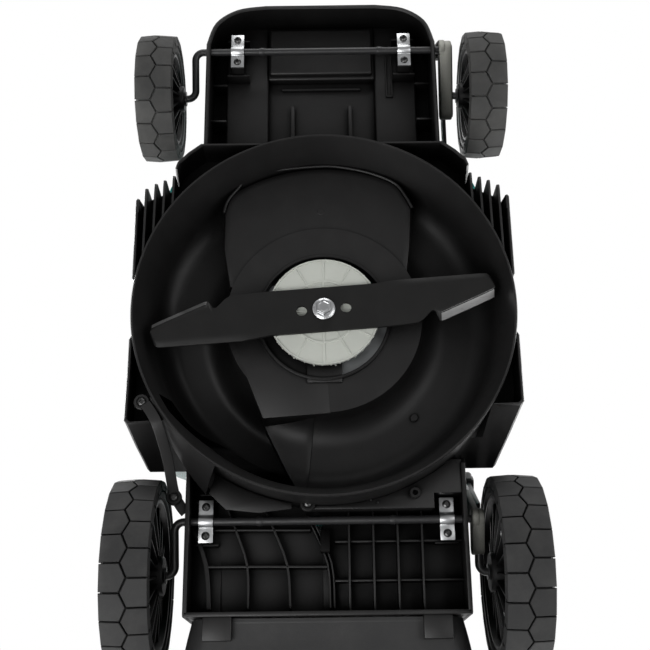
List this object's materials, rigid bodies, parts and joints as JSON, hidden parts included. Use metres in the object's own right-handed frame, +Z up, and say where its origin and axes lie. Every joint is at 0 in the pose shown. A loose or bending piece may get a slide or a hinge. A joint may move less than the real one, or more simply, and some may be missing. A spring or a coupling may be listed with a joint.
{
  "type": "cordless lawn mower",
  "caption": "Walk-behind cordless rotary lawn mower with a moulded deck, one cutting blade, bent-rod wheel axles, a slide-in battery, a folding handle and a rear grass box.",
  "frame": {"origin": "on the ground, below the middle of the bounding box", "axes": "+Z up, -Y the nose and the direction of travel, +X the side of the height lever"},
  "size_m": [0.417, 1.2495, 0.9497],
  "materials": {
    "deck_black": "fine moulded grain",
    "hood_teal": "satin gloss moulding",
    "trim_black": "satin",
    "tyre": "matte block tread",
    "wheel_black": "satin",
    "zinc": "zinc plated",
    "steel_black": "black powder coat",
    "blade": "black coated steel with ground edges",
    "fan_grey": "satin moulding",
    "arm_grey": "satin moulding",
    "motor": "cast",
    "copper": "bare contacts",
    "foam": "foam sleeve",
    "collector": "matte",
    "accent": "gloss"
  },
  "bodies": {
    "chassis": {"deck_shell": "deck_black", "hood": "hood_teal", "discharge_ramp": "trim_black", "front_clamp_left": "zinc", "front_clamp_right": "zinc", "rear_clamp_left": "zinc", "rear_clamp_right": "zinc", "motor_housing": "motor", "controller_box": "trim_black", "battery_cradle": "trim_black", "terminal_block": "copper", "flap_pin": "zinc", "flap_spring": "zinc", "handle_bracket_left": "trim_black", "handle_bracket_right": "trim_black", "bracket_bolt_left": "zinc", "bracket_bolt_right": "zinc", "lower_tube_left": "steel_black", "lower_tube_right": "steel_black", "fold_bolt_left": "zinc", "fold_bolt_right": "zinc"},
    "rotor": {"rotor_shaft": "motor", "fan_disc": "fan_grey", "blade_washer": "zinc", "blade": "blade", "blade_bolt": "zinc"},
    "rear_crank": {"rear_axle": "steel_black", "rear_height_arm": "arm_grey", "height_lever": "steel_black", "lever_grip": "accent"},
    "front_crank": {"front_axle": "steel_black", "front_height_arm": "arm_grey"},
    "link": {"link_rod": "steel_black"},
    "front_wheel_left": {"front_tyre_left": "tyre", "front_rim_left": "wheel_black", "front_cap_left": "hood_teal"},
    "front_wheel_right": {"front_tyre_right": "tyre", "front_rim_right": "wheel_black", "front_cap_right": "hood_teal"},
    "rear_wheel_left": {"rear_tyre_left": "tyre", "rear_rim_left": "wheel_black", "rear_cap_left": "hood_teal"},
    "rear_wheel_right": {"rear_tyre_right": "tyre", "rear_rim_right": "wheel_black", "rear_cap_right": "hood_teal"},
    "battery": {"battery_pack": "trim_black"},
    "key": {"safety_key": "accent"},
    "flap": {"rear_flap": "deck_black"},
    "collector": {"collector_bag": "collector", "collector_cover": "trim_black", "collector_grip": "hood_teal"},
    "upper": {"upper_handle": "steel_black", "grip_sleeve": "foam", "switch_box": "trim_black"},
    "bail": {"bail_lever": "accent"},
    "button": {"start_button": "accent"},
    "knob_left": {"fold_knob_left": "trim_black"},
    "knob_right": {"fold_knob_right": "trim_black"}
  },
  "joints": [
    {"name": "blade_spin", "type": "hinge", "parent": "chassis", "child": "rotor", "pos_m": [0, -0.2488, 0.03], "axis": [0, 0, 1], "continuous": true},
    {"name": "rear_axle_lift", "type": "hinge", "parent": "chassis", "child": "rear_crank", "pos_m": [0, -0.0438, 0.079], "axis": [1, 0, 0], "range_deg": [-60, 0]},
    {"name": "front_axle_lift", "type": "hinge", "parent": "chassis", "child": "front_crank", "pos_m": [0, -0.5688, 0.054], "axis": [1, 0, 0], "range_deg": [-60, 0]},
    {"name": "link_swing", "type": "hinge", "parent": "rear_crank", "child": "link", "pos_m": [0.1412, -0.0758, 0.13443], "axis": [1, 0, 0], "range_deg": [0, 60]},
    {"name": "front_left_roll", "type": "hinge", "parent": "front_crank", "child": "front_wheel_left", "pos_m": [-0.1795, -0.5188, 0.07], "axis": [1, 0, 0], "continuous": true},
    {"name": "front_right_roll", "type": "hinge", "parent": "front_crank", "child": "front_wheel_right", "pos_m": [0.1795, -0.5188, 0.07], "axis": [1, 0, 0], "continuous": true},
    {"name": "rear_left_roll", "type": "hinge", "parent": "rear_crank", "child": "rear_wheel_left", "pos_m": [-0.1853, 0.0062, 0.095], "axis": [1, 0, 0], "continuous": true},
    {"name": "rear_right_roll", "type": "hinge", "parent": "rear_crank", "child": "rear_wheel_right", "pos_m": [0.1853, 0.0062, 0.095], "axis": [1, 0, 0], "continuous": true},
    {"name": "battery_slide", "type": "slide", "parent": "chassis", "child": "battery", "axis": [0, 0, 1], "range_m": [0, 0.085]},
    {"name": "key_pull", "type": "slide", "parent": "chassis", "child": "key", "axis": [0, 0, 1], "range_m": [0, 0.02]},
    {"name": "flap_hinge", "type": "hinge", "parent": "chassis", "child": "flap", "pos_m": [0, 0.0412, 0.1975], "axis": [1, 0, 0], "range_deg": [0, 60], "stiffness_Nm_per_rad": 0.08, "springref_deg": -22.92},
    {"name": "collector_pull", "type": "slide", "parent": "chassis", "child": "collector", "axis": [0, 1, 0], "range_m": [0, 0.12]},
    {"name": "handle_fold", "type": "hinge", "parent": "chassis", "child": "upper", "pos_m": [0, 0.29103, 0.61601], "axis": [1, 0, 0], "range_deg": [0, 165]},
    {"name": "bail_squeeze", "type": "hinge", "parent": "upper", "child": "bail", "pos_m": [0, 0.55619, 0.88117], "axis": [1, 0, 0], "range_deg": [-36, 0], "stiffness_Nm_per_rad": 0.4, "springref_deg": 22.92},
    {"name": "start_press", "type": "slide", "parent": "upper", "child": "button", "axis": [0, 0.7071, -0.7071], "range_m": [0, 0.004], "stiffness_N_per_m": 400, "springref_m": -0.002},
    {"name": "knob_left_turn", "type": "hinge", "parent": "chassis", "child": "knob_left", "pos_m": [-0.165, 0.29103, 0.61601], "axis": [1, 0, 0], "continuous": true},
    {"name": "knob_right_turn", "type": "hinge", "parent": "chassis", "child": "knob_right", "pos_m": [0.165, 0.29103, 0.61601], "axis": [1, 0, 0], "continuous": true}
  ],
  "couplings": [
    {"joint": "front_axle_lift", "follows": "rear_axle_lift", "ratio": 1},
    {"joint": "link_swing", "follows": "rear_axle_lift", "ratio": -1}
  ]
}
